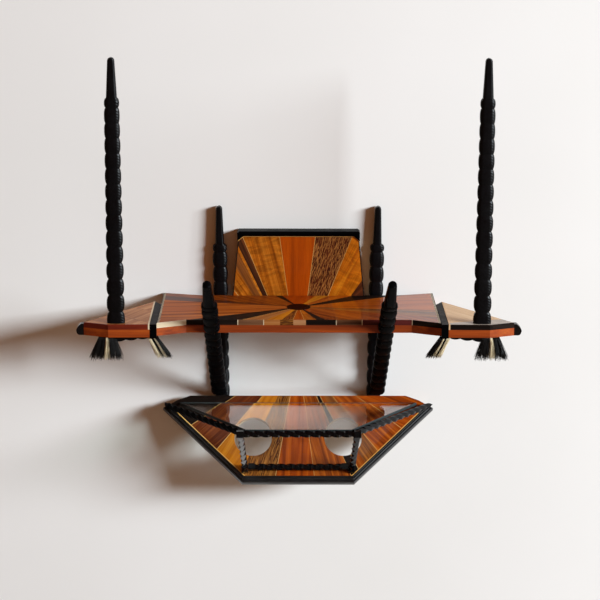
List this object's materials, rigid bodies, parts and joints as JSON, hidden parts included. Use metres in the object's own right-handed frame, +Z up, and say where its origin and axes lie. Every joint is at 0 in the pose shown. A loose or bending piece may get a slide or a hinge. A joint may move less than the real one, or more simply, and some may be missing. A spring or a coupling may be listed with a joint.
{
  "type": "wall shelf",
  "caption": "Wall shelf with a sunburst marquetry top, carved stick posts, bristle tufts and a tilted tray with a glass pane in a gallery of twisted bars.",
  "frame": {"origin": "on the back face of the hanging rail, level with the top of the shelf and midway between its ends", "axes": "+X along the wall to the viewer's right, +Y into the wall, +Z up; the wall is the plane Y = 0"},
  "size_m": [0.842, 0.3409, 0.8657],
  "materials": {
    "black_lacquer": "black lacquer over carved wood, satin",
    "mahogany": "orange mahogany, high gloss lacquer",
    "marquetry": "sunburst of exotic woods with pale stringing, high gloss lacquer",
    "wing_veneer": "pale and brown veneers, high gloss lacquer",
    "bare_wood": "plain wood, oiled",
    "glass": "clear float glass, ground edges",
    "bristle": "black and cream bristles",
    "steel": "plain zinc-plated steel screws"
  },
  "bodies": {
    "root": {"shelf_board": "mahogany", "shelf_marquetry": "marquetry", "shelf_hub": "black_lacquer", "panel_board": "bare_wood", "panel_marquetry": "marquetry", "panel_moulding": "black_lacquer", "hanging_rail": "bare_wood", "tray_board": "bare_wood", "tray_marquetry": "marquetry", "tray_moulding_left": "black_lacquer", "tray_moulding_right": "black_lacquer", "tray_moulding_front": "black_lacquer", "tray_stop_bar": "black_lacquer", "tray_block_left": "bare_wood", "tray_block_right": "bare_wood", "gallery_bar_front": "black_lacquer", "gallery_bar_left": "black_lacquer", "gallery_bar_right": "black_lacquer", "gallery_strut_left": "black_lacquer", "gallery_strut_right": "black_lacquer", "glass_pane": "glass", "glass_peg_front_left": "black_lacquer", "glass_peg_front_right": "black_lacquer", "glass_peg_side_left": "black_lacquer", "glass_peg_side_right": "black_lacquer", "wing_board_left": "mahogany", "wing_board_right": "mahogany", "wing_marquetry_left": "wing_veneer", "wing_marquetry_right": "wing_veneer", "gap_strip_left": "black_lacquer", "gap_strip_right": "black_lacquer", "wing_tip_left": "black_lacquer", "wing_tip_right": "black_lacquer", "scallop_bar_left": "black_lacquer", "scallop_bar_right": "black_lacquer", "outer_post_left": "black_lacquer", "outer_post_right": "black_lacquer", "rear_post_left": "black_lacquer", "rear_post_right": "black_lacquer", "front_post_left": "black_lacquer", "front_post_right": "black_lacquer", "tuft_outer_left": "bristle", "tuft_outer_right": "bristle", "tuft_gap_left": "bristle", "tuft_gap_right": "bristle", "wing_dowel_back_left": "bare_wood", "wing_dowel_back_right": "bare_wood", "wing_dowel_front_left": "bare_wood", "wing_dowel_front_right": "bare_wood", "post_screw_left": "steel", "post_screw_right": "steel", "rail_screw_left": "steel", "rail_screw_right": "steel", "panel_screw_left": "steel", "panel_screw_right": "steel"}
  },
  "joints": []
}
